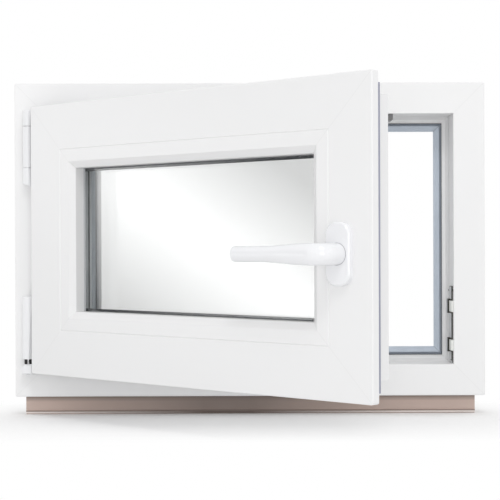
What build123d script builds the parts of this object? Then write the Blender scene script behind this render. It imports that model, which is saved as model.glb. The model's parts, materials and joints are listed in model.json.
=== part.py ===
from build123d import *
from math import cos, pi, sin
import os

# Basement window of welded white profiles: a fixed frame on a sill profile, and an inward
# opening sash on two side hinges, with double glazing and a lever handle.
# Millimetres. X runs right as seen from the room, Y points outdoors, Z is up.
# The origin is the centre of the sill profile's underside.

# Overall sizes
frame_width = 600
frame_height = 400
frame_depth = 60
sash_open = 42

# Frame profile, measured from its outer edge inwards and from its room face outdoors
face_width = 40
stop_reach = 19
stop_thickness = 12
stop_foot = 3.5
stop_bevel = 7
edge_radius = 1.2
corner_radius = 2.5
clip_groove_width = 6
clip_groove_depth = 5
clip_groove_places = (27, 47)

# Sash profile, measured from its own outer edge and from its own room face
sash_overlap = 8
flange_width = 20
flange_thickness = 11
face_gap = 4
sash_depth = 60
sash_edge_bevel = 6
glazing_rebate = 56.5
leg_thickness = 12
leg_reach = 21.5
leg_bevel = 8
sash_corner_radius = 3
gear_axis = 13
gear_groove_width = 12
gear_groove_depth = 9
faceplate_width = 16
faceplate_thickness = 2.5
faceplate_room = 0.5
faceplate_clearance = 0.3

# Glazing beads and double glazing
sight_line = 80
bead_flat = 15.5
bead_bevel_depth = 5.5
bead_depth = 18
bead_foot_front = 7
bead_foot_back = 10.5
bead_foot_height = 3.5
joint_chamfer = 0.7
pane_thickness = 4
cavity_width = 16
glass_edge = 62
spacer_height = 6.5
seal_height = 3
gasket_thickness = 3
inner_gasket_height = 11
outer_gasket_height = 9

# Soft gaskets: corner points as depth and height over the gasket's own foot
frame_gasket_lift = 5
frame_gasket_crown = 0.6
frame_gasket_foot = ((0, 0), (-1.6, 0), (-2.8, 1.5), (-1.4, 3.2), (-4.4, 3.8), (-4.6, 5.2), (-2.6, 8.8))
frame_gasket_head = ((-2.4, -0.6), (-1.6, 0), (0, -0.8))
sash_gasket_points = ((0, 2.4), (1.4, 2.2), (3.5, 4), (3.8, 5.4), (2.6, 6.2), (1.4, 7.5), (0, 7.5))

# Sill profile under the frame
seat_length = 580
seat_depth = 30
seat_height = 25
seat_set_back = 22
seat_wall = 2
seat_shelf = 13.75
seat_lip = 1.2
seat_lip_height = 4.6
seat_lip_gap = 1.2
clip_clearance = 0.5

# Hinges: heights of the lower one stand on the frame's underside, and the upper one is measured
# from the sash's top rebate, on which its arm lies
hinge_edge = 18
hinge_reach = 8.5
pin_radius = 3
pin_clearance = 0.1
knuckle_radius = 5
cover_wall = 0.8
cover_clearance = 0.3
cap_rounding = 1.5
plate_thickness = 2.5
frame_tab = 5
hinge_gap = 0.3
tab_margin = 4
stay_drop = 3.5
stay_cap_length = 20.9
stay_barrel_length = 52.7
pin_cap_length = 24.3
pin_cap_slant = 4.5
bearing_plate_depth = 30
stay_arm_length = 210
stay_arm_width = 16
stay_arm_setback = 18
stay_arm_rounding = 5.3
stay_slot_length = 60
stay_slot_width = 5
link_length = 90
link_width = 12
rivet_radius = 3.5
rivet_height = 1.5
corner_cap_low = 29.5
corner_cap_high = 42.8
corner_cap_wall = 2.8
corner_cap_left = 8.2
corner_cap_right = 6
corner_cap_bevel = (4, 5.7)
corner_cap_rounding = 2
corner_foot_length = 45
corner_foot_depth = 28
bush_slot = 2.8
leaf_low = 49.2
leaf_high = 128.8
leaf_cover_flare = (1.6, 66)
leaf_plate_depth = 16

# Locking gear
cam_stem = 3
cam_head_radius = 5.5
cam_head_height = 2.2
cam_reach = 7.5
cam_heights = (98, 128)
head_cam_place = 165
drive_leg = 70
drive_corner_radius = 3
faceplate_gap = 1
faceplate_end = 60
faceplate_rounding = 5

# Keeps on the frame: depths from the room face, heights above the frame's underside
keep_low = 41
keep_high = 138.5
keep_back = 30
keep_plate = 1.6
keep_front = 8.8
keep_rear_front = 22.6
keep_lugs = ((54.5, 72.8), (104.2, 122.8))
keep_lug_height = 4.9
keep_hook = (44.7, 17)
packer_rim = 1.6
packer_height = 1.8
ramp_front = 2
ramp_depth = 17
ramp_margin = 2.4
ramp_height = 3
ramp_chamfer = 1
head_keep_end = 183.3
head_keep_length = 38
head_keep_thickness = 8.5
head_keep_depth = 20
head_keep_rounding = 2.4
head_keep_notch = 2.2
head_slot_width = 9
head_slot_depth = 4.5

# Handle
handle_inset = 40
handle_height = 183.3
rosette_width = 31
rosette_length = 65
rosette_height = 7
rosette_corner = 13
rosette_rounding = 1.5
neck_radius = 11.2
lever_length = 118.5
lever_stand = 42
lever_bend = 14
lever_thickness = 14
lever_tip_thickness = 12
lever_tip_width = 16.4
lever_tip_run = 42
lever_tip_rounding = 3.8
bend_steps = 8
grip_steps = 8
tip_steps = 3

# Drain covers on the outdoor face
drain_width = 42
drain_height = 12
drain_reach = 5
drain_place = 170
drain_bevel = 2.5
drain_slot_length = 28
drain_slot_width = 5
drain_slot_depth = 4
drain_slot_place = 36

# Places worked out from the sizes
room_y = -(seat_set_back + seat_depth / 2)
outdoor_y = room_y + frame_depth
frame_low = seat_height
frame_high = frame_low + frame_height
rebate_half = frame_width / 2 - face_width
stop_y = frame_depth - stop_thickness
sash_inset = face_width - sash_overlap
sash_width = frame_width - 2 * sash_inset
sash_height = frame_height - 2 * sash_inset
sash_room_y = room_y - face_gap - flange_thickness
sash_low = frame_low + sash_inset
sash_high = sash_low + sash_height
hinge_x = -frame_width / 2 + hinge_edge
hinge_y = room_y - hinge_reach
hinge_line = Axis((hinge_x, hinge_y, 0), (0, 0, 1))
glass_y = bead_depth + gasket_thickness
cavity_y = glass_y + pane_thickness
outer_pane_y = cavity_y + cavity_width
glass_back = outer_pane_y + pane_thickness
leg_y = sash_depth - leg_thickness
leg_top = glazing_rebate + leg_reach
bead_foot_low = glazing_rebate - bead_foot_height
gear_y = flange_thickness + gear_axis
faceplate_top = flange_width + faceplate_room
faceplate_floor = faceplate_top + faceplate_thickness
stay_low_edge = frame_height - sash_inset - flange_width
stay_high = stay_low_edge - stay_drop
stay_top = stay_high + stay_cap_length
stay_split = stay_high - stay_barrel_length
stay_low = stay_split - pin_cap_length
bearing_bore = knuckle_radius + cover_clearance
stay_cover_radius = bearing_bore + cover_wall


def ring_sides(width, height, y, low):
    """Start plane and length of each side of a rectangle, walked with its inside on the left."""
    left, right, high = -width / 2, width / 2, low + height
    return {
        "sill": (Plane(origin=(left, y, low), x_dir=(0, 1, 0), z_dir=(1, 0, 0)), width),
        "lock": (Plane(origin=(right, y, low), x_dir=(0, 1, 0), z_dir=(0, 0, 1)), height),
        "head": (Plane(origin=(right, y, high), x_dir=(0, 1, 0), z_dir=(-1, 0, 0)), width),
        "hinge": (Plane(origin=(left, y, high), x_dir=(0, 1, 0), z_dir=(0, 0, -1)), height),
    }


def mitred_bar(section, start, length):
    """Bar of one section along a side, cut at 45 degrees at both ends."""
    along, inwards = start.z_dir, start.y_dir
    end = start.origin + along * length
    with BuildPart() as bar:
        with BuildSketch(start):
            add(section)
        extrude(amount=length)
        split(bisect_by=Plane(origin=start.origin, z_dir=along - inwards), keep=Keep.TOP)
        split(bisect_by=Plane(origin=end, z_dir=-along - inwards), keep=Keep.TOP)
    return bar


def ring_of(section, sides):
    """Closed ring of one section, joined at its mitred corners."""
    with BuildPart() as ring:
        for start, length in sides.values():
            add(mitred_bar(section, start, length).part)
    return ring


def outline(points, rounded=(), radius=edge_radius):
    """Section through its corner points (depth, distance inwards), some of them rounded."""
    with BuildSketch() as section:
        with BuildLine():
            Polyline(*points, close=True)
        make_face()
        for corner in rounded:
            fillet(section.vertices().sort_by_distance(corner)[0], radius)
    return section.sketch


# Section of the frame: room face, rebate floor, stop with its gasket groove, clip grooves outside
def frame_section():
    stop_top = face_width + stop_reach
    groove = []
    for place in clip_groove_places:
        near, far = place - clip_groove_width / 2, place + clip_groove_width / 2
        groove += [(near, 0), (near, clip_groove_depth), (far, clip_groove_depth), (far, 0)]
    points = [(0, 0), *groove, (frame_depth, 0)]
    points += [(frame_depth, stop_top - stop_bevel), (stop_y + stop_foot, stop_top), (stop_y, stop_top)]
    points += [(stop_y, face_width + stop_foot), (stop_y - stop_foot, face_width), (0, face_width)]
    return outline(points, rounded=[(0, 0), (0, face_width), (frame_depth, 0)])


# Section of the sash: flange over the frame, gear groove, outer leg and the groove for the beads
def sash_section():
    gear_half, plate_half = gear_groove_width / 2, faceplate_width / 2 + faceplate_clearance
    groove_floor = faceplate_floor + gear_groove_depth
    points = [(0, 0), (flange_thickness, 0), (flange_thickness, flange_width)]
    points += [(gear_y - plate_half, flange_width), (gear_y - plate_half, faceplate_floor)]
    points += [(gear_y - gear_half, faceplate_floor), (gear_y - gear_half, groove_floor)]
    points += [(gear_y + gear_half, groove_floor), (gear_y + gear_half, faceplate_floor)]
    points += [(gear_y + plate_half, faceplate_floor), (gear_y + plate_half, flange_width)]
    points += [(sash_depth - sash_edge_bevel, flange_width), (sash_depth, flange_width + sash_edge_bevel)]
    points += [(sash_depth, leg_top - leg_bevel), (sash_depth - leg_bevel, leg_top), (leg_y, leg_top)]
    points += [(leg_y, glazing_rebate), (bead_foot_back, glazing_rebate)]
    points += [(bead_foot_back, bead_foot_low), (bead_foot_front, bead_foot_low)]
    points += [(bead_foot_front, glazing_rebate)]
    points += [(joint_chamfer, glazing_rebate), (0, glazing_rebate - joint_chamfer)]
    return outline(points, rounded=[(0, 0), (flange_thickness, 0)])


# Section of a glazing bead: flat, bevel down to the sight line, wall to the glass, foot in its groove
def bead_section():
    bevel_start = glazing_rebate + bead_flat
    points = [(0, glazing_rebate + joint_chamfer), (0, bevel_start), (bead_bevel_depth, sight_line)]
    points += [(bead_depth, sight_line), (bead_depth, glazing_rebate), (bead_foot_back, glazing_rebate)]
    points += [(bead_foot_back, bead_foot_low), (bead_foot_front, bead_foot_low)]
    points += [(bead_foot_front, glazing_rebate), (joint_chamfer, glazing_rebate)]
    return outline(points, rounded=[(0, bevel_start), (bead_bevel_depth, sight_line)])


def slab(near, far, low, high):
    """Plain four-sided section between two depths and two distances inwards."""
    return outline([(near, low), (far, low), (far, high), (near, high)])


# Gasket on the frame's stop: a base, a groove line and a lip towards the sash
def frame_gasket_section():
    foot = face_width + stop_foot + frame_gasket_lift
    crown = face_width + stop_reach + frame_gasket_crown
    points = [(stop_y + depth, foot + rise) for depth, rise in frame_gasket_foot]
    points += [(stop_y + depth, crown + rise) for depth, rise in frame_gasket_head]
    return outline(points)


# Gasket behind the sash's flange, standing towards the frame's room face
def sash_gasket_section():
    return outline([(flange_thickness + depth, rise) for depth, rise in sash_gasket_points])


frame_sides = ring_sides(frame_width, frame_height, room_y, frame_low)
sash_sides = ring_sides(sash_width, sash_height, sash_room_y, sash_low)
node_sides = {"sill": "sill", "lock": "jamb_lock", "head": "head", "hinge": "jamb_hinge"}
stile_sides = {"sill": "sill", "lock": "stile_lock", "head": "head", "hinge": "stile_hinge"}
fixed_pieces = {}
sash_pieces = {}

# Envelopes that give frame and sash their softly rounded outer corners
def envelope(width, height, room, radius):
    """Block of a ring's outer size, with rounded corners as seen from the room."""
    with BuildPart() as outer:
        with BuildSketch(Plane.XZ.offset(-room)):
            with Locations((0, (frame_low + frame_high) / 2)):
                RectangleRounded(width, height, radius)
        extrude(amount=-frame_depth)
    return outer


def welded_member(section, start, length, outer):
    """Mitred bar trimmed to the ring's rounded corners."""
    with BuildPart() as member:
        add(mitred_bar(section, start, length).part)
        add(outer.part, mode=Mode.INTERSECT)
    return member


frame_envelope = envelope(frame_width, frame_height, room_y, corner_radius)
sash_envelope = envelope(sash_width, sash_height, sash_room_y, sash_corner_radius)
for side, (start, length) in frame_sides.items():
    fixed_pieces["frame_" + node_sides[side]] = welded_member(frame_section(), start, length, frame_envelope)
for side, (start, length) in sash_sides.items():
    sash_pieces["sash_" + stile_sides[side]] = welded_member(sash_section(), start, length, sash_envelope)
    sash_pieces["bead_" + side] = mitred_bar(bead_section(), start, length)

# Drain slots in the rebate floor of the frame's sill
with BuildPart() as drained_sill:
    add(fixed_pieces["frame_sill"].part)
    with BuildSketch(Plane.XY.offset(frame_low + face_width)):
        with Locations(*[(side * drain_place, room_y + drain_slot_place) for side in (-1, 1)]):
            SlotOverall(drain_slot_length, drain_slot_width)
    extrude(amount=-drain_slot_depth, mode=Mode.SUBTRACT)
fixed_pieces["frame_sill"] = drained_sill

fixed_pieces["frame_gasket"] = ring_of(frame_gasket_section(), frame_sides)

# Double glazing: two panes on a spacer frame, sealed round the edge
for name, near in (("glass_inner", glass_y), ("glass_outer", outer_pane_y)):
    with BuildPart() as pane:
        with BuildSketch(Plane.XZ.offset(-(sash_room_y + near + pane_thickness))):
            with Locations((0, (sash_low + sash_high) / 2)):
                Rectangle(sash_width - 2 * glass_edge, sash_height - 2 * glass_edge)
        extrude(amount=pane_thickness)
    sash_pieces[name] = pane

spacer_low = glass_edge + seal_height
glazing_rings = {
    "glass_spacer": slab(cavity_y, outer_pane_y, spacer_low, spacer_low + spacer_height),
    "glass_edge_seal": slab(cavity_y, outer_pane_y, glass_edge, spacer_low),
    "glazing_gasket_inner": slab(bead_depth, glass_y, sight_line - inner_gasket_height, sight_line),
    "glazing_gasket_outer": slab(glass_back, leg_y, leg_top - outer_gasket_height, leg_top),
}
for name, section in glazing_rings.items():
    sash_pieces[name] = ring_of(section, sash_sides)

# The flange gasket is cut away where the hinge tabs pass
tab_zones = ((corner_cap_low, leaf_high - tab_margin), (stay_split + tab_margin, stay_top - tab_margin))
with BuildPart() as sash_gasket:
    add(ring_of(sash_gasket_section(), sash_sides).part)
    for low, high in tab_zones:
        with BuildSketch(Plane.XY.offset(frame_low + low)):
            with Locations((-(sash_width - flange_width) / 2, room_y)):
                Rectangle(flange_width, 2 * face_gap)
        extrude(amount=high - low, mode=Mode.SUBTRACT)
sash_pieces["sash_gasket"] = sash_gasket

# Sill profile: chambered, with a foot lip in front and two fins clipped into the frame's grooves
with BuildPart() as sill_profile:
    with BuildSketch(Plane.YZ.offset(-seat_length / 2)) as seat_section:
        front, back = -seat_depth / 2, seat_depth / 2
        with BuildLine():
            Polyline((front, seat_lip_gap), (front - seat_lip, seat_lip_gap),
                     (front - seat_lip, seat_lip_height), (front, seat_lip_height + seat_lip / 2),
                     (front, seat_height), (back, seat_height), (back, 0), (front + seat_lip, 0),
                     (front + seat_lip, seat_lip_gap), close=True)
        make_face()
        web = (seat_depth - 3 * seat_wall) / 2
        for side in (-1, 1):
            with Locations((side * (web + seat_wall) / 2, (seat_wall + seat_shelf) / 2)):
                Rectangle(web, seat_shelf - seat_wall, mode=Mode.SUBTRACT)
        upper_chamber = seat_height - seat_shelf - 2 * seat_wall
        with Locations((0, (seat_shelf + seat_height) / 2)):
            Rectangle(seat_depth - 2 * seat_wall, upper_chamber, mode=Mode.SUBTRACT)
        for place in clip_groove_places:
            with Locations((room_y + place, seat_height + (clip_groove_depth - clip_clearance) / 2)):
                Rectangle(clip_groove_width - 2 * clip_clearance, clip_groove_depth - clip_clearance)
    extrude(amount=seat_length)
fixed_pieces["sill_profile"] = sill_profile

# Drain covers over the outdoor face of the frame's sill
with BuildPart() as drain_covers:
    for side in (-1, 1):
        with BuildSketch(Plane.XZ.offset(-outdoor_y)):
            with Locations((side * drain_place, frame_low + face_width / 2)):
                Rectangle(drain_width, drain_height)
        extrude(amount=-drain_reach)
    chamfer(drain_covers.faces().group_by(Axis.Y)[-1].edges(), drain_bevel)
fixed_pieces["drain_covers"] = drain_covers

# Handle: rosette on the lock stile
handle_x = sash_width / 2 - handle_inset
handle_z = frame_low + handle_height
with BuildPart() as handle_rosette:
    with BuildSketch(Plane.XZ.offset(-sash_room_y)):
        with Locations((handle_x, handle_z)):
            RectangleRounded(rosette_width, rosette_length, rosette_corner)
    extrude(amount=rosette_height)
    chamfer(handle_rosette.faces().sort_by(Axis.Y)[0].edges(), rosette_rounding)
sash_pieces["handle_rosette"] = handle_rosette

# Lever: a round neck that bends into a grip, which grows flatter and narrower towards its tip
neck_foot_y = sash_room_y - rosette_height
grip_y = sash_room_y - lever_stand + lever_thickness / 2
grip_length = lever_length - lever_bend - lever_tip_run
lever_stations = []


def ease(share):
    """Share of a change that starts and ends softly."""
    return share ** 2 * (3 - 2 * share)


def station(right, y, along, thick, tall):
    """Oval section of the lever: its place beside the handle's axis, its direction and its size."""
    plane = Plane(origin=(handle_x + right, y, handle_z), x_dir=(-along[1], along[0], 0), z_dir=(*along, 0))
    lever_stations.append((plane, thick, tall))


station(0, neck_foot_y, (0, -1), 2 * neck_radius, 2 * neck_radius)
for step in range(bend_steps + 1):
    turn = pi / 2 * step / bend_steps
    thick = 2 * neck_radius + (lever_thickness - 2 * neck_radius) * ease(step / bend_steps)
    station(-lever_bend * (1 - cos(turn)), grip_y + lever_bend * (1 - sin(turn)), (-sin(turn), -cos(turn)),
            thick, 2 * neck_radius)
for step in range(1, grip_steps + 1):
    share = step / grip_steps
    thick = lever_thickness + (lever_tip_thickness - lever_thickness) * ease(share)
    tall = 2 * neck_radius + (lever_tip_width - 2 * neck_radius) * ease(share)
    station(-lever_bend - grip_length * share, grip_y, (-1, 0), thick, tall)
for step in range(tip_steps + 1):
    turn = pi / 2 * step / tip_steps
    inset = 2 * lever_tip_rounding * (1 - cos(turn))
    station(-lever_length + lever_tip_rounding * (1 - sin(turn)), grip_y, (-1, 0),
            lever_tip_thickness - inset, lever_tip_width - inset)

with BuildPart() as handle_lever:
    for plane, thick, tall in lever_stations:
        with BuildSketch(plane):
            Ellipse(thick / 2, tall / 2)
    loft(ruled=True)
sash_pieces["handle_lever"] = handle_lever


def knuckle(low, high, bore=pin_radius + pin_clearance):
    """Round piece on the hinge line between two heights above the frame's underside."""
    with BuildPart() as barrel:
        with BuildSketch(Plane.XY.offset(frame_low + low)):
            with Locations((hinge_x, hinge_y)):
                Circle(knuckle_radius)
                Circle(bore, mode=Mode.SUBTRACT)
        extrude(amount=high - low)
    return barrel


def block(x_span, y_span, z_span):
    """Rectangular plate between pairs of X, of depth from the room face, and of height on the frame."""
    with BuildPart() as plate:
        with BuildSketch(Plane.XY.offset(frame_low + z_span[0])):
            with Locations(((x_span[0] + x_span[1]) / 2, room_y + (y_span[0] + y_span[1]) / 2)):
                Rectangle(x_span[1] - x_span[0], y_span[1] - y_span[0])
        extrude(amount=z_span[1] - z_span[0])
    return plate


# Stay bearing on the frame: knuckle, tab over the room face, plate on the rebate floor
rebate_x = -rebate_half
plate_x = (rebate_x, rebate_x + plate_thickness)
tab_x = (hinge_x, rebate_x + plate_thickness)
with BuildPart() as stay_bearing:
    add(knuckle(stay_split + hinge_gap, stay_high - hinge_gap).part)
    add(block(tab_x, (-frame_tab, 0), (stay_split + tab_margin, stay_high - tab_margin)).part)
    add(block(plate_x, (-frame_tab, bearing_plate_depth),
              (stay_split + hinge_gap, stay_high - hinge_gap)).part)
fixed_pieces["stay_bearing"] = stay_bearing

# Corner bearing on the frame, with a foot on the jamb and one on the sill
corner_span = (corner_cap_low + hinge_gap, corner_cap_high - corner_cap_wall - hinge_gap)
with BuildPart() as corner_bearing:
    add(knuckle(*corner_span).part)
    add(block(tab_x, (-frame_tab, 0), corner_span).part)
    add(block(plate_x, (-frame_tab, 0), (corner_span[0], face_width + corner_foot_length)).part)
    add(block(plate_x, (0, corner_foot_depth), (face_width, face_width + corner_foot_length)).part)
    add(block((rebate_x, rebate_x + corner_foot_length), (0, corner_foot_depth),
              (face_width, face_width + plate_thickness)).part)
fixed_pieces["corner_bearing"] = corner_bearing

# Pins of both hinges
pin_spans = {
    "stay_pin": (stay_low + pin_cap_slant + cover_wall, stay_top - cap_rounding - cover_wall),
    "corner_pin": (corner_cap_low + hinge_gap, leaf_high - cap_rounding - cover_wall),
}
for name, (low, high) in pin_spans.items():
    with BuildPart() as pin:
        with BuildSketch(Plane.XY.offset(frame_low + low)):
            with Locations((hinge_x, hinge_y)):
                Circle(pin_radius)
        extrude(amount=high - low)
    fixed_pieces[name] = pin

# Lower hinge leaf on the sash: knuckle, tab behind the flange, plate on the sash's rebate side
flange_x = -sash_width / 2 + flange_width
leaf_tab = (leaf_low + tab_margin, leaf_high - tab_margin)
with BuildPart() as sash_hinge_leaf:
    add(knuckle(leaf_low, leaf_high - cap_rounding - cover_wall).part)
    add(block((hinge_x, flange_x), (-face_gap, -face_gap + plate_thickness), leaf_tab).part)
    add(block((flange_x - plate_thickness, flange_x), (-face_gap, leaf_plate_depth), leaf_tab).part)
sash_pieces["sash_hinge_leaf"] = sash_hinge_leaf

# Stay arm: knuckle and tab, and a slotted flat bar on the sash's top rebate
stay_start = flange_x - stay_arm_setback
stay_end = stay_start + stay_arm_length
stay_middle = room_y - face_gap + stay_arm_width / 2
with BuildPart() as stay_arm:
    add(knuckle(stay_high + hinge_gap, stay_top - cap_rounding - cover_wall).part)
    add(block((hinge_x, flange_x), (-face_gap, -face_gap + plate_thickness),
              (stay_high + hinge_gap, stay_top - 2 * tab_margin)).part)
    add(block((stay_start, stay_end), (-face_gap, -face_gap + stay_arm_width),
              (stay_low_edge, stay_low_edge + plate_thickness)).part)
    fillet(stay_arm.edges().filter_by(Axis.Z).sort_by(Axis.X)[-2:], stay_arm_rounding)
    with BuildSketch(Plane.XY.offset(frame_low + stay_low_edge)):
        with Locations((stay_end - stay_slot_length, stay_middle)):
            SlotOverall(stay_slot_length, stay_slot_width)
    extrude(amount=plate_thickness, mode=Mode.SUBTRACT)
sash_pieces["stay_arm"] = stay_arm

# Link on the arm, with a rivet at each end
link_start = stay_end - stay_slot_length - link_length
with BuildPart() as stay_link:
    with BuildSketch(Plane.XY.offset(frame_low + stay_low_edge + plate_thickness)):
        with Locations((link_start + link_length / 2, stay_middle)):
            SlotOverall(link_length, link_width)
    extrude(amount=plate_thickness)
    with BuildSketch(Plane.XY.offset(frame_low + stay_low_edge + 2 * plate_thickness)):
        with Locations((link_start + link_width / 2, stay_middle),
                       (link_start + link_length - link_width / 2, stay_middle)):
            Circle(rivet_radius)
    extrude(amount=rivet_height)
sash_pieces["stay_link"] = stay_link


def cover(low, high, radius, flat_y, bore_radius, bore_span, flare=None):
    """Hollow cover on the hinge line, cut off flat behind, bored between a pair of heights.

    A flare, given as depth and height, cuts its sides slanting, so that it grows wider upwards.
    """
    with BuildPart() as shell:
        with BuildSketch(Plane.XY.offset(frame_low + low)):
            with Locations((hinge_x, hinge_y)):
                Circle(radius)
        extrude(amount=high - low)
        split(bisect_by=Plane(origin=(hinge_x, flat_y, frame_low), z_dir=(0, 1, 0)), keep=Keep.BOTTOM)
        if flare:
            for side in (-1, 1):
                foot = (hinge_x + side * (radius - flare[0]), hinge_y, frame_low + low)
                split(bisect_by=Plane(origin=foot, z_dir=(side * flare[1], 0, -flare[0])), keep=Keep.BOTTOM)
        if bore_span[1] < high:
            chamfer(shell.faces().sort_by(Axis.Z)[-1].edges(), cap_rounding)
        with BuildSketch(Plane.XY.offset(frame_low + bore_span[0])):
            with Locations((hinge_x, hinge_y)):
                Circle(bore_radius)
        extrude(amount=bore_span[1] - bore_span[0], mode=Mode.SUBTRACT)
    return shell


fixed_flat = room_y - frame_tab - cover_clearance
sash_flat = room_y - face_gap - cover_clearance
bearing_span = (stay_split + hinge_gap, stay_high - hinge_gap)
arm_span = (stay_high + hinge_gap, stay_top)
leaf_bore = (leaf_low, leaf_high - cap_rounding - cover_wall)
arm_bore = (arm_span[0], stay_top - cap_rounding - cover_wall)
leaf_cover_radius = stay_cover_radius + leaf_cover_flare[0]
fixed_pieces["stay_bearing_cover"] = cover(
    *bearing_span, stay_cover_radius, fixed_flat, bearing_bore, bearing_span)
sash_pieces["stay_arm_cover"] = cover(*arm_span, stay_cover_radius, sash_flat, bearing_bore, arm_bore)
sash_pieces["sash_hinge_cover"] = cover(
    leaf_low, leaf_high, leaf_cover_radius, sash_flat, bearing_bore, leaf_bore, leaf_cover_flare)

# Cap over the pin's lower end, cut off at a slant towards the sash
pin_cap_bore = (stay_low + pin_cap_slant + cover_wall, stay_split - hinge_gap)
with BuildPart() as stay_pin_cap:
    add(cover(stay_low, pin_cap_bore[1], stay_cover_radius, room_y, pin_radius + pin_clearance,
              pin_cap_bore).part)
    slant = Plane(origin=(hinge_x + stay_cover_radius, hinge_y, frame_low + stay_low), x_dir=(0, 1, 0),
                  z_dir=(pin_cap_slant, 0, 2 * stay_cover_radius))
    split(bisect_by=slant, keep=Keep.TOP)
fixed_pieces["stay_pin_cap"] = stay_pin_cap

# Cap over the corner bearing: a rounded block, bevelled beside the sash's turning circle
cap_left, cap_right = hinge_x - corner_cap_left, hinge_x + corner_cap_right
with BuildPart() as corner_bearing_cap:
    with BuildSketch(Plane.XZ.offset(-room_y)):
        low, high = frame_low + corner_cap_low, frame_low + corner_cap_high
        with BuildLine():
            Polyline((cap_left, low), (cap_right, low), (cap_right, high),
                     (cap_left + corner_cap_bevel[0], high), (cap_left, high - corner_cap_bevel[1]),
                     close=True)
        make_face()
    extrude(amount=hinge_reach + bearing_bore + cover_wall)
    front_edges = corner_bearing_cap.faces().sort_by(Axis.Y)[0].edges()
    chamfer(front_edges, corner_cap_rounding)
    with BuildSketch(Plane.XY.offset(frame_low + corner_cap_low)):
        with Locations((hinge_x, hinge_y)):
            Circle(bearing_bore)
        with Locations((hinge_x + corner_cap_right / 2, room_y - (frame_tab + cover_clearance) / 2)):
            Rectangle(corner_cap_right, frame_tab + cover_clearance)
    extrude(amount=corner_cap_high - corner_cap_low - corner_cap_wall, mode=Mode.SUBTRACT)
    with BuildSketch(Plane.XY.offset(frame_low + corner_cap_low)):
        with Locations((hinge_x, hinge_y)):
            Circle(pin_radius + pin_clearance)
    extrude(amount=corner_cap_high - corner_cap_low, mode=Mode.SUBTRACT)
fixed_pieces["corner_bearing_cap"] = corner_bearing_cap

# Bush under the leaf's knuckle, slotted in front so that the pin shows
with BuildPart() as corner_bush:
    add(knuckle(corner_cap_high, leaf_low - hinge_gap).part)
    add(block((hinge_x - bush_slot / 2, hinge_x + bush_slot / 2),
              (-hinge_reach - knuckle_radius, -hinge_reach), (corner_cap_high, leaf_low)).part,
        mode=Mode.SUBTRACT)
fixed_pieces["corner_bush"] = corner_bush

# Faceplates in the gear groove, with a drive turned round each corner on the lock side
faceplate_near, faceplate_far = gear_y - faceplate_width / 2, gear_y + faceplate_width / 2
faceplate_section = slab(faceplate_near, faceplate_far, faceplate_top, faceplate_floor)
with BuildPart() as corner_drives:
    add(ring_of(faceplate_section, sash_sides).part)
    drive_x = sash_width / 2 - faceplate_top - drive_leg / 2
    drive_z = sash_height / 2 - faceplate_top - drive_leg / 2
    with BuildSketch(Plane.XZ.offset(-sash_room_y)):
        with Locations(*[(drive_x, (sash_low + sash_high) / 2 + side * drive_z) for side in (-1, 1)]):
            Rectangle(drive_leg, drive_leg)
    extrude(amount=-sash_depth, mode=Mode.INTERSECT)
    outer_edges = corner_drives.edges().filter_by(Axis.Y).group_by(Axis.X)[-1].sort_by(Axis.Z)
    fillet((outer_edges[0], outer_edges[-1]), drive_corner_radius)
sash_pieces["corner_drives"] = corner_drives

drive_inset = faceplate_top + drive_leg + faceplate_gap
faceplate_runs = {
    "lock": (drive_inset, drive_inset),
    "head": (drive_inset, faceplate_end),
    "sill": (faceplate_end, drive_inset),
}
for side, (before, after) in faceplate_runs.items():
    start, length = sash_sides[side]
    with BuildPart() as faceplate:
        with BuildSketch(start.offset(before)):
            add(faceplate_section)
        extrude(amount=length - before - after)
        if side != "lock":
            free_end = faceplate.edges().filter_by(Axis.Z).group_by(Axis.X)[0]
            fillet(free_end, faceplate_rounding)
    sash_pieces["faceplate_" + side] = faceplate


def cam(base):
    """Mushroom cam on a faceplate: stem and head turned about the base plane's normal."""
    with BuildPart() as stud:
        with BuildSketch(Plane(origin=base.origin, x_dir=base.x_dir, z_dir=-base.y_dir)):
            with BuildLine():
                head_low = cam_reach - cam_head_height
                Polyline((0, 0), (cam_stem, 0), (cam_stem, head_low), (cam_head_radius, head_low),
                         (cam_head_radius, cam_reach), (0, cam_reach), close=True)
            make_face()
        revolve(axis=Axis(base.origin, base.z_dir))
    return stud


with BuildPart() as locking_cams:
    cam_x, cam_y = sash_width / 2 - faceplate_top, sash_room_y + gear_y
    for height in cam_heights:
        add(cam(Plane(origin=(cam_x, cam_y, frame_low + height), x_dir=(0, 1, 0), z_dir=(1, 0, 0))).part)
    head_cam_foot = (head_cam_place, cam_y, sash_high - faceplate_top)
    add(cam(Plane(origin=head_cam_foot, x_dir=(0, 1, 0), z_dir=(0, 0, 1))).part)
sash_pieces["locking_cams"] = locking_cams

# Tilt keep on the lock jamb: plate with a stepped front edge, two lugs behind it, hook at its foot
keep_plane = Plane(origin=(rebate_half, room_y, frame_low), x_dir=(0, 0, 1), z_dir=(-1, 0, 0))
(lug_low, lug_split), (lug_join, lug_high) = keep_lugs
keep_edge = [(keep_high, keep_front), (lug_high, keep_front), (lug_high, keep_rear_front)]
keep_edge += [(lug_join, keep_rear_front), (lug_join, keep_front), (lug_split, keep_front)]
keep_edge += [(lug_split, keep_rear_front), (lug_low, keep_rear_front), (lug_low, keep_front)]
keep_edge += [(keep_hook[0], keep_front), keep_hook, (keep_low, keep_hook[1])]
keep_outline = outline([(keep_low, keep_back), (keep_high, keep_back), *keep_edge])
lug_spans = [((low + high) / 2, high - low) for low, high in keep_lugs]
with BuildPart() as tilt_keep:
    with BuildSketch(keep_plane):
        add(keep_outline)
    extrude(amount=keep_plate)
    with BuildSketch(keep_plane):
        for middle, span in lug_spans:
            with Locations((middle, (keep_rear_front + keep_back) / 2)):
                Rectangle(span, keep_back - keep_rear_front)
    extrude(amount=keep_lug_height)
fixed_pieces["tilt_keep"] = tilt_keep

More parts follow.
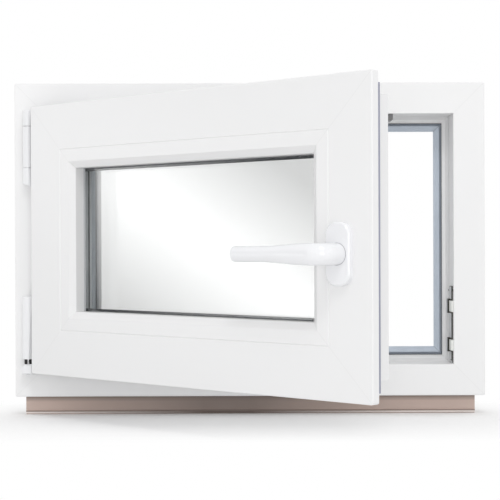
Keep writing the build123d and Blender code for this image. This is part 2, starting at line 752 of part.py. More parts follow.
# Dark packer whose rim shows along the keep's front edge, higher before the lugs
with BuildPart() as keep_packer:
    with BuildSketch(keep_plane):
        add(keep_outline)
        offset(amount=packer_rim, kind=Kind.INTERSECTION)
        add(keep_outline, mode=Mode.SUBTRACT)
        with Locations(((keep_hook[0] + keep_high) / 2, keep_rear_front / 2)):
            Rectangle(keep_high - keep_hook[0] + packer_rim, keep_rear_front, mode=Mode.INTERSECT)
    extrude(amount=packer_height)
    with BuildSketch(keep_plane):
        for middle, span in lug_spans:
            with Locations((middle, keep_rear_front - packer_rim / 2)):
                Rectangle(span, packer_rim)
    extrude(amount=keep_lug_height)
fixed_pieces["keep_packer"] = keep_packer

# Run-in ramps in front of the lugs
with BuildPart() as keep_ramps:
    with BuildSketch(keep_plane):
        for middle, span in lug_spans:
            with Locations((middle, ramp_front + ramp_depth / 2)):
                Rectangle(span - 2 * ramp_margin, ramp_depth)
    extrude(amount=ramp_height)
    chamfer(keep_ramps.faces().sort_by(Axis.X)[0].edges().sort_by(Axis.Y)[0], ramp_chamfer)
fixed_pieces["keep_ramps"] = keep_ramps

# Keep under the frame's head: rounded at its free end, slotted for the cam
ceiling = frame_high - face_width
keep_end_low = ceiling - head_keep_thickness
keep_start = head_keep_end - head_keep_length
with BuildPart() as head_keep:
    with BuildSketch(Plane.XZ.offset(-(room_y + ramp_front))) as head_side:
        with BuildLine():
            Polyline((keep_start, ceiling), (head_keep_end, ceiling), (head_keep_end, keep_end_low),
                     (keep_start, keep_end_low), close=True)
        make_face()
        fillet(head_side.vertices().sort_by_distance((head_keep_end, keep_end_low))[0], head_keep_rounding)
    extrude(amount=-head_keep_depth)
    with BuildSketch(Plane.XZ.offset(-(room_y + ramp_front))):
        notch_middle = head_keep_end - head_keep_length / 2 - 2 * head_keep_notch
        with Locations((notch_middle, ceiling - head_keep_notch / 2)):
            Rectangle(head_keep_length, head_keep_notch)
    extrude(amount=-head_keep_notch, mode=Mode.SUBTRACT)
    with BuildSketch(Plane.XY.offset(keep_end_low)):
        slot_middle = (head_keep_end - head_keep_length / 2 - head_slot_width, sash_room_y + gear_y)
        with Locations(slot_middle):
            Rectangle(head_keep_length, head_slot_width)
    extrude(amount=head_slot_depth, mode=Mode.SUBTRACT)
fixed_pieces["head_keep"] = head_keep

# The sash stands open: everything on it is turned about the hinge line
os.makedirs("parts", exist_ok=True)
for name, piece in sash_pieces.items():
    piece.part = piece.part.rotate(hinge_line, -sash_open)
for name, piece in {**fixed_pieces, **sash_pieces}.items():
    piece.part.label = name
    export_step(piece.part, f"parts/{name}.step")
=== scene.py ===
import itertools
import json
import math

import bmesh
import bpy
from mathutils import Matrix, Vector


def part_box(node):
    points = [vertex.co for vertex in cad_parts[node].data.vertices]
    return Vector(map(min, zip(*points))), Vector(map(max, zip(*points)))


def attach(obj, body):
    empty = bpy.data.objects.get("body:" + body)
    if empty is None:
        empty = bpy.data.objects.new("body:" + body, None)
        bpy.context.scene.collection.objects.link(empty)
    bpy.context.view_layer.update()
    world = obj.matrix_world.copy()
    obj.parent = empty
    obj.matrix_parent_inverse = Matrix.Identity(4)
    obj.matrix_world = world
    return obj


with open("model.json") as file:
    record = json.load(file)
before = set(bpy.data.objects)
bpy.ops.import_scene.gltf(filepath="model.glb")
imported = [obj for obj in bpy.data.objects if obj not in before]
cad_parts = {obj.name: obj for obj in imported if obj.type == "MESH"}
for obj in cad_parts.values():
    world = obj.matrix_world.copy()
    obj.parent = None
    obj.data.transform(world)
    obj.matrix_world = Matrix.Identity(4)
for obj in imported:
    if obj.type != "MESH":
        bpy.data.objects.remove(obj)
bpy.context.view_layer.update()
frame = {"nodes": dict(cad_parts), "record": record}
nodes = frame["nodes"]
print("frame loaded:", len(nodes), "nodes")

# places that several pieces share, in metres
pinLow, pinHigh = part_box("stay_pin")
jambLow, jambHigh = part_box("frame_jamb_lock")
layout = {
    "hinge": Vector(((pinLow.x + pinHigh.x) / 2, (pinLow.y + pinHigh.y) / 2, 0)),
    "sashTurn": math.radians(42),  # how far the sash stands open
    "frameHalf": Vector((0.300, 0.200)),  # half width and half height of the frame
    "sashHalf": Vector((0.268, 0.168)),
    "middle": (jambLow.z + jambHigh.z) / 2,  # height of the middle of frame and sash
    "gasketFoot": 0.0485,  # from the frame's outer edge to the foot of its gasket
    "gearDepth": -0.028,  # depth of the gear's centre line on the closed sash
}
toOpen = (
    Matrix.Translation(layout["hinge"])
    @ Matrix.Rotation(-layout["sashTurn"], 4, "Z")
    @ Matrix.Translation(-layout["hinge"])
)


def shaded(tone, share):
    return tuple(value * share for value in tone)


# a material's node tree, with short calls for the nodes that are used most
class Recipe:
    def __init__(self, name, onSash=False, **sockets):
        self.material = bpy.data.materials.new(name)
        self.material.use_nodes = True
        self.tree = self.material.node_tree
        self.shader = self.tree.nodes["Principled BSDF"]
        for socket, value in sockets.items():
            self.shader.inputs[socket.replace("_", " ")].default_value = value
        self.place = self.node("ShaderNodeTexCoord").outputs["Object"]
        if onSash:
            self.closeSash()

    def node(self, kind, **values):
        made = self.tree.nodes.new(kind)
        for key, value in values.items():
            setattr(made, key, value)
        return made

    def link(self, source, target):
        self.tree.links.new(source, target)

    def math(self, operation, first, second=None, clamp=False):
        made = self.node("ShaderNodeMath", operation=operation, use_clamp=clamp)
        for socket, value in zip(made.inputs, (first, second)):
            if value is None:
                continue
            if isinstance(value, (int, float)):
                socket.default_value = value
            else:
                self.link(value, socket)
        return made.outputs[0]

    # how far two values lie apart
    def apart(self, first, second):
        return self.math("ABSOLUTE", self.math("SUBTRACT", first, second))

    # 1 where a value lies no further than this from a centre, 0 elsewhere
    def band(self, value, centre, half):
        return self.math("LESS_THAN", self.apart(value, centre), half)

    # length of the diagonal of two lengths
    def diagonal(self, first, second):
        squares = (self.math("POWER", value, 2.0) for value in (first, second))
        return self.math("SQRT", self.math("ADD", *squares))

    def noise(self, scale, detail, place=None):
        made = self.node("ShaderNodeTexNoise")
        made.inputs["Scale"].default_value = scale
        made.inputs["Detail"].default_value = detail
        self.link(place or self.place, made.inputs["Vector"])
        return made.outputs["Fac"]

    # maps start..end to low..high; the defaults are where most of a noise lies
    def spread(self, value, low, high, start=0.3, end=0.7):
        made = self.node("ShaderNodeMapRange")
        limits = {"From Min": start, "From Max": end, "To Min": low, "To Max": high}
        for socket, number in limits.items():
            made.inputs[socket].default_value = number
        self.link(value, made.inputs["Value"])
        return made.outputs["Result"]

    def blend(self, factor, first, second):
        made = self.node("ShaderNodeMix", data_type="RGBA")
        self.link(factor, made.inputs[0])
        for socket, value in zip(made.inputs[6:8], (first, second)):
            if isinstance(value, tuple):
                socket.default_value = (*value, 1)
            else:
                self.link(value, socket)
        return made.outputs[2]

    # soft clouds between two colours
    def clouds(self, first, second, scale, detail):
        return self.blend(self.spread(self.noise(scale, detail), 0, 1), first, second)

    # the three coordinates of the place
    def axes(self):
        split = self.node("ShaderNodeSeparateXYZ")
        self.link(self.place, split.inputs[0])
        return [split.outputs[axis] for axis in "XYZ"]

    # brings a point of the open sash back to its closed place
    def closeSash(self):
        turn = self.node("ShaderNodeMapping")
        back = Matrix.Rotation(layout["sashTurn"], 3, "Z")
        turn.inputs["Rotation"].default_value = (0, 0, layout["sashTurn"])
        turn.inputs["Location"].default_value = layout["hinge"] - back @ layout["hinge"]
        self.link(self.place, turn.inputs["Vector"])
        self.place = turn.outputs["Vector"]

    # how far a point lies within a ring's sides, and within its head and foot
    def within(self, half):
        across, _, height = self.axes()
        return (
            self.math("SUBTRACT", half.x, self.math("ABSOLUTE", across)),
            self.math("SUBTRACT", half.y, self.apart(height, layout["middle"])),
        )

    # 1 on the 45-degree lines through the corners of a ring of this half size, 0 beside them
    def mitre(self, half, width):
        away = self.math("DIVIDE", self.apart(*self.within(half)), width)
        return self.math("SUBTRACT", 1.0, away, clamp=True)

    def colour(self, value):
        self.link(value, self.shader.inputs["Base Color"])

    def roughness(self, grain, low, high):
        self.link(self.spread(grain, low, high), self.shader.inputs["Roughness"])

    def bump(self, height, distance):
        made = self.node("ShaderNodeBump")
        made.inputs["Distance"].default_value = distance
        self.link(height, made.inputs["Height"])
        self.link(made.outputs["Normal"], self.shader.inputs["Normal"])


# In the recipes, cloud, wear and grain are a noise's scale and detail.

# smooth white extrusion with a fine weld line at each mitred corner
def whiteProfile(name, tone, half, onSash=False):
    look = {
        "cloud": (3, 1),
        "shade": 0.992,
        "seamWidth": 0.0006,
        "seamTone": 0.925,
        "wear": (40, 4),
        "roughness": (0.3, 0.38),
        "grain": (900, 2),
        "grainShare": 0.05,  # of the weld line's depth
        "bump": 0.00008,
    }
    made = Recipe(name, onSash, IOR=1.53)
    seam = made.mitre(half, look["seamWidth"])
    colour = made.clouds(shaded(tone, look["shade"]), tone, *look["cloud"])
    made.colour(made.blend(seam, colour, shaded(tone, look["seamTone"])))
    made.roughness(made.noise(*look["wear"]), *look["roughness"])
    grain = made.math("MULTIPLY", made.noise(*look["grain"]), look["grainShare"])
    made.bump(made.math("SUBTRACT", grain, seam), look["bump"])
    return made.material


# extruded rubber lip, darker at its mitred corners, with painted shade in the gap along its foot
def rubber(name, tone, half=None, onSash=False, rough=0.6, foot=None):
    look = {
        "cloud": (60, 3),
        "shade": 0.93,
        "notchWidth": 0.0009,
        "notchTone": 0.6,
        "footShadeWidth": 0.0042,
        "footShadeTone": 0.12,
        "wear": (150, 2),
        "smoother": 0.06,
        "rougher": 0.08,
        "grain": (1500, 2),
        "bump": 0.00004,
    }
    made = Recipe(name, onSash, Specular_IOR_Level=0.35)
    colour = made.clouds(shaded(tone, look["shade"]), tone, *look["cloud"])
    if half is not None:
        notch = made.mitre(half, look["notchWidth"])
        colour = made.blend(notch, colour, shaded(tone, look["notchTone"]))
    # painted shade: the gap between the gasket's foot and the stop is darkened in the colour
    if foot is not None:
        inner = made.math("MINIMUM", *made.within(half - Vector((foot, foot))))
        away = made.math("DIVIDE", inner, look["footShadeWidth"])
        footShade = made.math("SUBTRACT", 1.0, away, clamp=True)
        colour = made.blend(footShade, colour, shaded(tone, look["footShadeTone"]))
    made.colour(colour)
    made.roughness(made.noise(*look["wear"]), rough - look["smoother"], rough + look["rougher"])
    made.bump(made.noise(*look["grain"]), look["bump"])
    return made.material


# moulded or lacquered plastic
def plastic(name, tone, roughness=(0.28, 0.42), grain=(1600, 2)):
    look = {"cloud": (25, 2), "shade": 0.985, "wear": (80, 3), "bump": 0.00003}
    made = Recipe(name)
    made.colour(made.clouds(shaded(tone, look["shade"]), tone, *look["cloud"]))
    made.roughness(made.noise(*look["wear"]), *roughness)
    made.bump(made.noise(*grain), look["bump"])
    return made.material


# drawn or stamped metal, its grain stretched upwards
def metal(name, tone, roughness=(0.25, 0.42)):
    look = {"cloud": (35, 3), "shade": 0.85, "stretch": 0.06, "grain": (2200, 3), "bump": 0.00003}
    made = Recipe(name, Metallic=1.0)
    stretch = made.node("ShaderNodeMapping")
    stretch.inputs["Scale"].default_value = (1, 1, look["stretch"])
    made.link(made.place, stretch.inputs["Vector"])
    grain = made.noise(*look["grain"], place=stretch.outputs["Vector"])
    made.colour(made.clouds(shaded(tone, look["shade"]), tone, *look["cloud"]))
    made.roughness(grain, *roughness)
    made.bump(grain, look["bump"])
    return made.material


# aluminium spacer with two rows of small holes and a dark joint between them
def perforatedSpacer(name, tone):
    look = {
        "cloud": (35, 3),
        "shade": 0.9,
        "uprights": 0.1975,  # further out than this the rows run upwards
        "pitch": 0.0046,
        "hole": 0.0010,
        "holeTone": 0.30,
        "rows": (-0.0195, -0.0130),  # depths on the closed sash
        "joint": (-0.0161, 0.0012),  # its depth and half width
        "jointTone": 0.03,
        "wear": (400, 2),
        "roughness": (0.32, 0.45),
        "bump": 0.0002,
    }
    made = Recipe(name, onSash=True)
    across, depth, height = made.axes()
    onUpright = made.math("GREATER_THAN", made.math("ABSOLUTE", across), look["uprights"])
    along = made.node("ShaderNodeMix", data_type="FLOAT")
    for socket, value in ((0, onUpright), (2, across), (3, height)):
        made.link(value, along.inputs[socket])
    step = made.math("FRACT", made.math("DIVIDE", along.outputs[0], look["pitch"]))
    fromHole = made.math("MULTIPLY", made.apart(step, 0.5), look["pitch"])
    fromRow = made.math("MINIMUM", *(made.apart(depth, row) for row in look["rows"]))
    holes = made.math("LESS_THAN", made.diagonal(fromHole, fromRow), look["hole"])
    colour = made.clouds(shaded(tone, look["shade"]), tone, *look["cloud"])
    colour = made.blend(holes, colour, shaded(tone, look["holeTone"]))
    made.colour(made.blend(made.band(depth, *look["joint"]), colour, shaded(tone, look["jointTone"])))
    made.roughness(made.noise(*look["wear"]), *look["roughness"])
    made.bump(made.math("SUBTRACT", 1.0, holes), look["bump"])
    return made.material


# cast keep: bright zinc on the jamb, dark in the shade under the head
def keepCasting(name, tone):
    look = {
        "cloud": (120, 3),
        "shade": 0.85,
        "darkens": (0.30, 0.34),  # heights between which it darkens
        "darkTone": 0.2,
        "wear": (300, 2),
        "roughness": (0.4, 0.55),
        "grain": (900, 3),
        "bump": 0.00005,
    }
    made = Recipe(name, Metallic=0.6)
    height = made.axes()[2]
    colour = made.clouds(shaded(tone, look["shade"]), tone, *look["cloud"])
    dark = made.spread(height, 0, 1, *look["darkens"])
    made.colour(made.blend(dark, colour, shaded(tone, look["darkTone"])))
    made.roughness(made.noise(*look["wear"]), *look["roughness"])
    made.bump(made.noise(*look["grain"]), look["bump"])
    return made.material


# sill strip with painted shade towards the middle, under the open sash, and a painted shadow under the
# frame; along its foot a groove in painted shade and a bead with a painted highlight
def sillFilm(name, tone):
    look = {
        "cloud": (25, 2),
        "shade": 0.97,
        "middle": -0.03,
        "reach": (0.03, 0.23),  # distances from the middle between which it brightens
        "sashShadeTone": 0.47,
        "bead": (0.0021, 0.0012),  # its height and half width
        "beadHighlightTone": (0.88, 0.80, 0.76),
        "beadSashShadeTone": (0.16, 0.12, 0.10),
        "groove": (0.0040, 0.0007),
        "grooveShadeTone": 0.5,
        "grooveSashShadeTone": 0.3,
        "underFrameShadow": (0.0160, 0.0240),  # heights between which it darkens under the frame
        "underFrameShadowTone": 0.32,
        "wear": (80, 3),
        "roughness": (0.42, 0.55),
        "grain": (1600, 2),
        "bump": 0.00003,
    }
    made = Recipe(name, Specular_IOR_Level=0.4)
    across, _, height = made.axes()
    # painted shade: darker towards the middle, where the open sash shades the strip
    middle = made.spread(made.apart(across, look["middle"]), 1, 0, *look["reach"])
    bead = made.blend(middle, look["beadHighlightTone"], look["beadSashShadeTone"])
    groove = made.blend(middle, shaded(tone, look["grooveShadeTone"]), shaded(tone, look["grooveSashShadeTone"]))
    colour = made.clouds(shaded(tone, look["shade"]), tone, *look["cloud"])
    colour = made.blend(middle, colour, shaded(tone, look["sashShadeTone"]))
    # painted highlight along the bead on the foot, and painted shade in the groove above it
    colour = made.blend(made.band(height, *look["bead"]), colour, bead)
    colour = made.blend(made.band(height, *look["groove"]), colour, groove)
    # painted shadow under the frame's bottom edge, along the top of the strip
    underFrameShadow = made.spread(height, 0, 1, *look["underFrameShadow"])
    made.colour(made.blend(underFrameShadow, colour, shaded(tone, look["underFrameShadowTone"])))
    made.roughness(made.noise(*look["wear"]), *look["roughness"])
    made.bump(made.noise(*look["grain"]), look["bump"])
    return made.material


# clear float glass with a faint tint
def floatGlass(name, tint):
    look = {"cloud": (3, 1), "shade": 0.996}
    made = Recipe(name, Roughness=0.0, IOR=1.5, Transmission_Weight=1.0)
    made.colour(made.clouds(tint, shaded(tint, look["shade"]), *look["cloud"]))
    return made.material


tones = {
    "profile": (0.90, 0.90, 0.902),
    # painted shade: the sash and its beads take the frame's white a little darker
    "shadedSashProfile": (0.872, 0.872, 0.875),
    "frameGasket": (0.55, 0.61, 0.69),
    "flangeGasket": (0.34, 0.35, 0.44),
    "glazingGasket": (0.62, 0.63, 0.65),
    "taupe": (0.64, 0.505, 0.445),
    "glass": (0.885, 0.89, 0.888),
    "spacer": (0.90, 0.94, 0.95),
    "edgeSeal": (0.02, 0.02, 0.022),
    "cover": (0.88, 0.885, 0.90),
    "hingeSteel": (0.62, 0.62, 0.63),
    "gearSteel": (0.66, 0.66, 0.67),
    "casting": (0.72, 0.72, 0.73),
    "packer": (0.045, 0.045, 0.04),
    "ramp": (0.86, 0.87, 0.84),
    "bush": (0.012, 0.012, 0.012),
    "lacquer": (0.88, 0.885, 0.905),
}
frameHalf, sashHalf = layout["frameHalf"], layout["sashHalf"]
finishes = {
    "frame": whiteProfile("white profile frame", tones["profile"], frameHalf),
    "sash": whiteProfile("white profile sash", tones["shadedSashProfile"], sashHalf, onSash=True),
    "bead": whiteProfile("white bead", tones["shadedSashProfile"], sashHalf, onSash=True),
    "frame_gasket": rubber(
        "grey frame gasket", tones["frameGasket"], frameHalf, foot=layout["gasketFoot"]),
    "sash_gasket": rubber("grey flange gasket", tones["flangeGasket"], sashHalf, onSash=True),
    "glazing_gasket": rubber("pale glazing gasket", tones["glazingGasket"], sashHalf, onSash=True),
    "sill": sillFilm("taupe sill profile", tones["taupe"]),
    "glass": floatGlass("clear glass", tones["glass"]),
    "spacer": perforatedSpacer("spacer aluminium", tones["spacer"]),
    "edge_seal": rubber("black edge seal", tones["edgeSeal"], rough=0.5),
    "hinge_cover": plastic("white hinge cover", tones["cover"]),
    "hinge_steel": metal("plated hinge steel", tones["hingeSteel"]),
    "gear_steel": metal("plated gear steel", tones["gearSteel"]),
    "keep": keepCasting("keep casting", tones["casting"]),
    "keep_packer": rubber("dark keep packer", tones["packer"], rough=0.5),
    "keep_ramp": plastic("pale keep ramp", tones["ramp"], roughness=(0.4, 0.55)),
    "bush": rubber("black bush", tones["bush"], rough=0.35),
    "handle": plastic(
        "white handle lacquer", tones["lacquer"], roughness=(0.12, 0.18), grain=(2500, 2)),
    "drain_cover": plastic("white drain cover", tones["profile"]),
}
for part in frame["record"]["subparts"]:
    piece = nodes[part["node"]]
    piece.data.materials.clear()
    piece.data.materials.append(finishes[part["material_slot"]])
print("finishes:", len(finishes))


# turns a finished bmesh into an object and ties it to the part
def addPiece(name, mesh, material, onSash=False):
    look = {"sharpFrom": math.radians(35)}
    if onSash:
        bmesh.ops.transform(mesh, matrix=toOpen, verts=mesh.verts)
    bmesh.ops.recalc_face_normals(mesh, faces=mesh.faces)
    data = bpy.data.meshes.new(name)
    mesh.to_mesh(data)
    mesh.free()
    piece = bpy.data.objects.new(name, data)
    bpy.context.scene.collection.objects.link(piece)
    data.materials.append(material)
    data.shade_smooth()
    data.set_sharp_from_angle(angle=look["sharpFrom"])
    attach(piece, "root")


# turns +Z to a direction and moves the origin to a place
def onFace(place, direction):
    return Matrix.Translation(place) @ Vector(direction).to_track_quat("Z", "Y").to_matrix().to_4x4()


# adds a box from its ranges across, in depth and in height
def addBar(mesh, *ranges):
    size = [high - low for low, high in ranges]
    centre = [(low + high) / 2 for low, high in ranges]
    bmesh.ops.create_cube(mesh, size=1, matrix=Matrix.Translation(centre) @ Matrix.Diagonal((*size, 1)))


# adds a flat disc on a face
def addDisc(mesh, place, direction, radius, thick, sides):
    bmesh.ops.create_cone(
        mesh, cap_ends=True, segments=sides, radius1=radius, radius2=radius, depth=thick,
        matrix=onFace(place, direction))


def pointsOf(made):
    return [item for item in made["geom"] if isinstance(item, bmesh.types.BMVert)]


def edgesOf(made):
    return [item for item in made["geom"] if isinstance(item, bmesh.types.BMEdge)]


# adds a flat countersunk screw with a cross recess, its head just proud of the face
def addScrew(mesh, place, direction, radius):
    look = {
        "cells": 7,  # of the grid that the head starts from
        "arm": 2,  # cells from the middle to the end of the cross
        "roundFrom": 2.6,
        "proud": 0.0004,
        "rim": 0.0003,
        "sunk": 0.0006,
        "recessDepth": 0.0009,
        "taper": 0.6,
    }
    cell = 2 * radius / look["cells"]
    made = bmesh.ops.create_grid(mesh, x_segments=look["cells"], y_segments=look["cells"], size=radius)
    head = made["verts"]
    cross = []
    for face in {face for point in head for face in point.link_faces}:
        column, row = (abs(round(value / cell)) for value in face.calc_center_median()[:2])
        if min(column, row) == 0 and max(column, row) <= look["arm"]:
            cross.append(face)
    for point in head:
        reach = max(abs(point.co.x), abs(point.co.y))
        if reach > look["roundFrom"] * cell:
            point.co *= reach / point.co.length
    edge = [edge for edge in mesh.edges if edge.is_boundary and edge.verts[0] in head]
    side = bmesh.ops.extrude_edge_only(mesh, edges=edge)
    wider = 1 + look["rim"] / radius
    bmesh.ops.translate(mesh, verts=pointsOf(side), vec=(0, 0, -look["rim"]))
    bmesh.ops.scale(mesh, verts=pointsOf(side), vec=(wider, wider, 1))
    skirt = bmesh.ops.extrude_edge_only(mesh, edges=edgesOf(side))
    bmesh.ops.translate(mesh, verts=pointsOf(skirt), vec=(0, 0, -look["sunk"]))
    pit = bmesh.ops.extrude_face_region(mesh, geom=cross)
    bmesh.ops.translate(mesh, verts=pointsOf(pit), vec=(0, 0, -look["recessDepth"]))
    bmesh.ops.scale(mesh, verts=pointsOf(pit), vec=(look["taper"], look["taper"], 1))
    bmesh.ops.delete(mesh, geom=cross, context="FACES")
    bmesh.ops.contextual_create(mesh, geom=edgesOf(skirt))
    whole = {*head, *pointsOf(side), *pointsOf(skirt), *pointsOf(pit)}
    lift = Matrix.Translation((0, 0, look["proud"]))
    bmesh.ops.transform(mesh, matrix=onFace(place, direction) @ lift, verts=list(whole))


# screws of the fittings: frame side in place, sash side modelled closed and turned open
def screws():
    gear = (layout["gearDepth"],)
    wide, small = 0.0036, 0.003  # radius of the heads
    # each row: places across, depths, heights, the way it faces and the radius
    look = {
        "tone": (0.70, 0.70, 0.71),
        "roughness": (0.22, 0.34),
        "fixed": {
            "stayPlate": ((-0.2575,), (-0.022,), (0.326, 0.360), (1, 0, 0), wide),
            "cornerLeg": ((-0.2575,), (-0.023,), (0.080, 0.100), (1, 0, 0), wide),
            "cornerFoot": ((-0.242, -0.224), (-0.023,), (0.0675,), (0, 0, 1), wide),
        },
        "turned": {
            "gearFace": ((0.2475,), gear, (0.112, 0.185, 0.264, 0.336), (1, 0, 0), wide),
            "gearTop": ((-0.030, 0.060, 0.130, 0.215), gear, (0.3725,), (0, 0, 1), wide),
            "gearFoot": ((-0.180, -0.060, 0.060, 0.150, 0.215), gear, (0.0775,), (0, 0, -1), wide),
            "leafPlate": ((-0.2505,), (-0.031,), (0.088, 0.113, 0.138), (-1, 0, 0), wide),
            "stayBar": ((-0.236, -0.214, -0.070), (-0.033,), (0.3755,), (0, 0, 1), small),
        },
    }
    material = metal("bright screw", look["tone"], look["roughness"])
    meshes = {}
    for side in ("fixed", "turned"):
        meshes[side] = bmesh.new()
        for *ranges, direction, radius in look[side].values():
            for place in itertools.product(*ranges):
                addScrew(meshes[side], place, direction, radius)
    addPiece("frame_screws", meshes["fixed"], material)
    addPiece("sash_screws", meshes["turned"], material, onSash=True)


# fine shadow ring where the lever's neck turns in the rosette
def leverRing():
    look = {
        "tone": (0.42, 0.43, 0.45),
        "place": (0.228, -0.059, 0.2083),
        "radius": 0.0116,
        "thick": 0.0005,
        "sides": 48,
    }
    ring = bmesh.new()
    addDisc(ring, look["place"], (0, -1, 0), look["radius"], look["thick"], look["sides"])
    addPiece("lever_ring", ring, rubber("lever ring", look["tone"]), onSash=True)


# small dark fixing pegs round the tilt keep
def keepPegs():
    look = {
        "tone": (0.02, 0.02, 0.02),
        "roughness": (0.5, 0.6),
        "face": 0.2599,
        "places": ((0.0024, 0.1583), (-0.0312, 0.1590), (-0.0287, 0.0675)),  # depth and height
        "radius": 0.0015,
        "thick": 0.0012,
        "sides": 20,
    }
    pegs = bmesh.new()
    for place in look["places"]:
        addDisc(pegs, (look["face"], *place), (-1, 0, 0), look["radius"], look["thick"], look["sides"])
    addPiece("keep_pegs", pegs, plastic("dark peg", look["tone"], look["roughness"]))


# dark border between the panes, seen as a line along the top and bottom of the glass
def paneBorders():
    look = {
        "tone": (0.20, 0.21, 0.22),
        "rough": 0.5,
        "across": (-0.1965, 0.1965),
        "depth": (-0.0266, -0.0236),
        "heights": ((0.3095, 0.3215), (0.1285, 0.1402)),  # on the closed sash
    }
    bars = bmesh.new()
    for height in look["heights"]:
        addBar(bars, look["across"], look["depth"], height)
    material = rubber("pane border", look["tone"], rough=look["rough"])
    addPiece("pane_borders", bars, material, onSash=True)


# pale strip on the cavity side of the outer pane, next to the spacer's uprights
def paneStrips():
    look = {
        "tone": (0.78, 0.84, 0.90),
        "rough": 0.5,
        "across": ((-0.1963, -0.1899), (0.1899, 0.1963)),
        "depth": (-0.0119, -0.0113),
        "height": (0.1290, 0.3210),
    }
    strips = bmesh.new()
    for across in look["across"]:
        addBar(strips, across, look["depth"], look["height"])
    material = rubber("pane strip", look["tone"], rough=look["rough"])
    addPiece("pane_strips", strips, material, onSash=True)


# outer lip of the flange gasket, which shows as a fine line behind the flange
def flangeLip():
    look = {
        "depth": (-0.0409, -0.0383),  # on the closed sash, from the flange's back
        "set": 0.0002,  # back from the flange's edge
        "thick": 0.0026,
        "round": 0.0005,
        "segments": 2,
        "across": (-0.240, 0.256),
        "height": (0.068, 0.381),
    }
    edge = sashHalf.x - look["set"]
    top = layout["middle"] + sashHalf.y - look["set"]
    foot = layout["middle"] - sashHalf.y + look["set"]
    lip = bmesh.new()
    addBar(lip, (edge - look["thick"], edge), look["depth"], look["height"])
    addBar(lip, look["across"], look["depth"], (top - look["thick"], top))
    addBar(lip, look["across"], look["depth"], (foot, foot + look["thick"]))
    bmesh.ops.bevel(
        lip, geom=lip.edges[:], offset=look["round"], segments=look["segments"], profile=0.5,
        affect="EDGES", material=-1)
    addPiece("flange_lip", lip, finishes["sash_gasket"], onSash=True)


screws()
leverRing()
keepPegs()
paneBorders()
paneStrips()
flangeLip()
print("small pieces added")


# 1 for rays that reach the eye straight, mirrored or through glass
def seenRays(tree):
    path = tree.nodes.new("ShaderNodeLightPath")
    seen = path.outputs["Is Camera Ray"]
    for ray in ("Is Glossy Ray", "Is Transmission Ray"):
        largest = tree.nodes.new("ShaderNodeMath")
        largest.operation = "MAXIMUM"
        tree.links.new(seen, largest.inputs[0])
        tree.links.new(path.outputs[ray], largest.inputs[1])
        seen = largest.outputs[0]
    return seen


def whiteSurroundings():
    look = {"fill": 0.81}  # world light on the object
    world = bpy.data.worlds.new("white surroundings")
    bpy.context.scene.world = world
    world.use_nodes = True
    tree = world.node_tree
    background = tree.nodes["Background"]
    background.inputs["Color"].default_value = (1, 1, 1, 1)
    strength = tree.nodes.new("ShaderNodeMapRange")
    strength.inputs["To Min"].default_value = look["fill"]
    strength.inputs["To Max"].default_value = 1.0
    tree.links.new(seenRays(tree), strength.inputs["Value"])
    tree.links.new(strength.outputs["Result"], background.inputs["Strength"])


# floor that is plain white to the eye away from the object, and near it takes its shadow
def whiteFloor():
    look = {
        "size": 120.0,
        "tone": (0.9, 0.9, 0.9),
        "cloud": (2, 2),
        "shade": 0.998,
        "lift": 0.115,  # glow near the object
        "halfLength": 0.25,  # of the line that the distance is measured from
        "depth": -0.07,
        "fade": (0.05, 0.20),  # distances between which it turns plain white
    }
    bpy.ops.mesh.primitive_plane_add(size=look["size"], location=(0, 0, 0))
    floor = bpy.context.object
    floor.name = "floor"
    paper = Recipe("white floor", Roughness=0.9, Specular_IOR_Level=0.0, Emission_Color=(1, 1, 1, 1))
    across, depth, _ = paper.axes()
    beyond = paper.math("SUBTRACT", paper.math("ABSOLUTE", across), look["halfLength"])
    ahead = paper.math("SUBTRACT", depth, look["depth"])
    far = paper.diagonal(paper.math("MAXIMUM", beyond, 0.0), ahead)
    seen = seenRays(paper.tree)
    plain = paper.math("MULTIPLY", seen, paper.spread(far, 0, 1, *look["fade"]))
    colour = paper.clouds(look["tone"], shaded(look["tone"], look["shade"]), *look["cloud"])
    paper.colour(paper.blend(plain, colour, (0, 0, 0)))
    glow = paper.math("MULTIPLY", seen, paper.spread(plain, look["lift"], 1, 0, 1))
    paper.link(glow, paper.shader.inputs["Emission Strength"])
    floor.data.materials.append(paper.material)


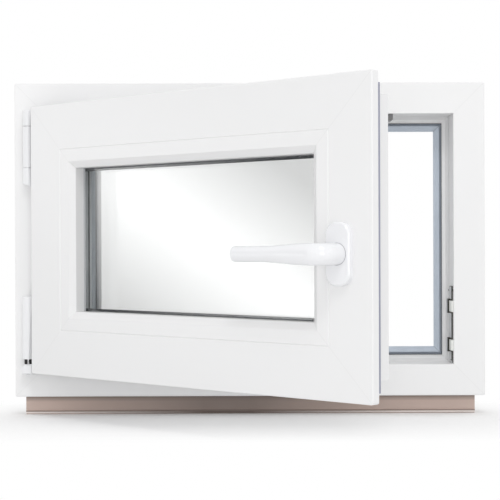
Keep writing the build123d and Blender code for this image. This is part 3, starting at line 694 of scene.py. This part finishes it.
# dark card on the left with a slanting light band, which only the panes and glossy faces mirror
def reflectionCard():
    look = {
        "right": -2.0,
        "centre": (-0.36, 0.233),  # depth and height of the band's centre line
        "across": (0.578, -0.816),  # direction across the band, in depth and height
        "reach": 0.75,
        "plateau": 0.03,  # half width of the brightest part
        "fade": 0.245,
        "peak": 2.85,
    }
    made = bmesh.new()
    facing = onFace((look["right"], *look["centre"]), (1, 0, 0))
    bmesh.ops.create_grid(made, x_segments=1, y_segments=1, size=look["reach"], matrix=facing)
    data = bpy.data.meshes.new("reflection card")
    made.to_mesh(data)
    made.free()
    card = bpy.data.objects.new("reflection card", data)
    bpy.context.scene.collection.objects.link(card)
    paint = Recipe(
        "card light", Base_Color=(0, 0, 0, 1), Specular_IOR_Level=0.0, Emission_Color=(1, 1, 1, 1))
    shares = [
        paint.math("MULTIPLY", paint.math("SUBTRACT", coordinate, start), share)
        for coordinate, start, share in zip(paint.axes()[1:], look["centre"], look["across"])
    ]
    away = paint.math("ABSOLUTE", paint.math("ADD", *shares))
    glow = paint.spread(away, look["peak"], 0.0, look["plateau"], look["plateau"] + look["fade"])
    paint.link(glow, paint.shader.inputs["Emission Strength"])
    data.materials.append(paint.material)
    card.visible_camera = False
    card.visible_diffuse = False
    card.visible_shadow = False


def lamps():
    look = {
        "aim": (0, -0.15, 0.22),
        "lamps": {
            "front": {"power": 15, "size": 1.2, "place": (0.0, -3.0, 0.12)},
            "key": {"power": 11, "size": 0.6, "place": (0.15, -1.9, 2.3)},
        },
    }
    for name, lamp in look["lamps"].items():
        light = bpy.data.lights.new(name, "AREA")
        light.energy = lamp["power"]
        light.shape = "DISK"
        light.size = lamp["size"]
        holder = bpy.data.objects.new(name, light)
        bpy.context.scene.collection.objects.link(holder)
        holder.location = lamp["place"]
        toAim = Vector(look["aim"]) - Vector(lamp["place"])
        holder.rotation_euler = toAim.to_track_quat("-Z", "Y").to_euler()


# camera at the viewpoint that was worked out from the frame's and the sash's edges
def photographCamera():
    look = {
        "place": (0.00012, -1.77996, 0.21732),
        "pitch": -0.190,  # degrees, slightly down
        "roll": 0.206,
        "lens": 98.28,
        "sensor": 36,
    }
    data = bpy.data.cameras.new("camera")
    data.lens = look["lens"]
    data.sensor_width = look["sensor"]
    camera = bpy.data.objects.new("camera", data)
    camera.location = look["place"]
    camera.rotation_euler = (math.radians(90 + look["pitch"]), math.radians(look["roll"]), 0)
    bpy.context.scene.collection.objects.link(camera)
    bpy.context.scene.camera = camera


whiteSurroundings()
whiteFloor()
reflectionCard()
lamps()
photographCamera()
bpy.context.scene.view_settings.view_transform = "Standard"
print("studio and camera set")
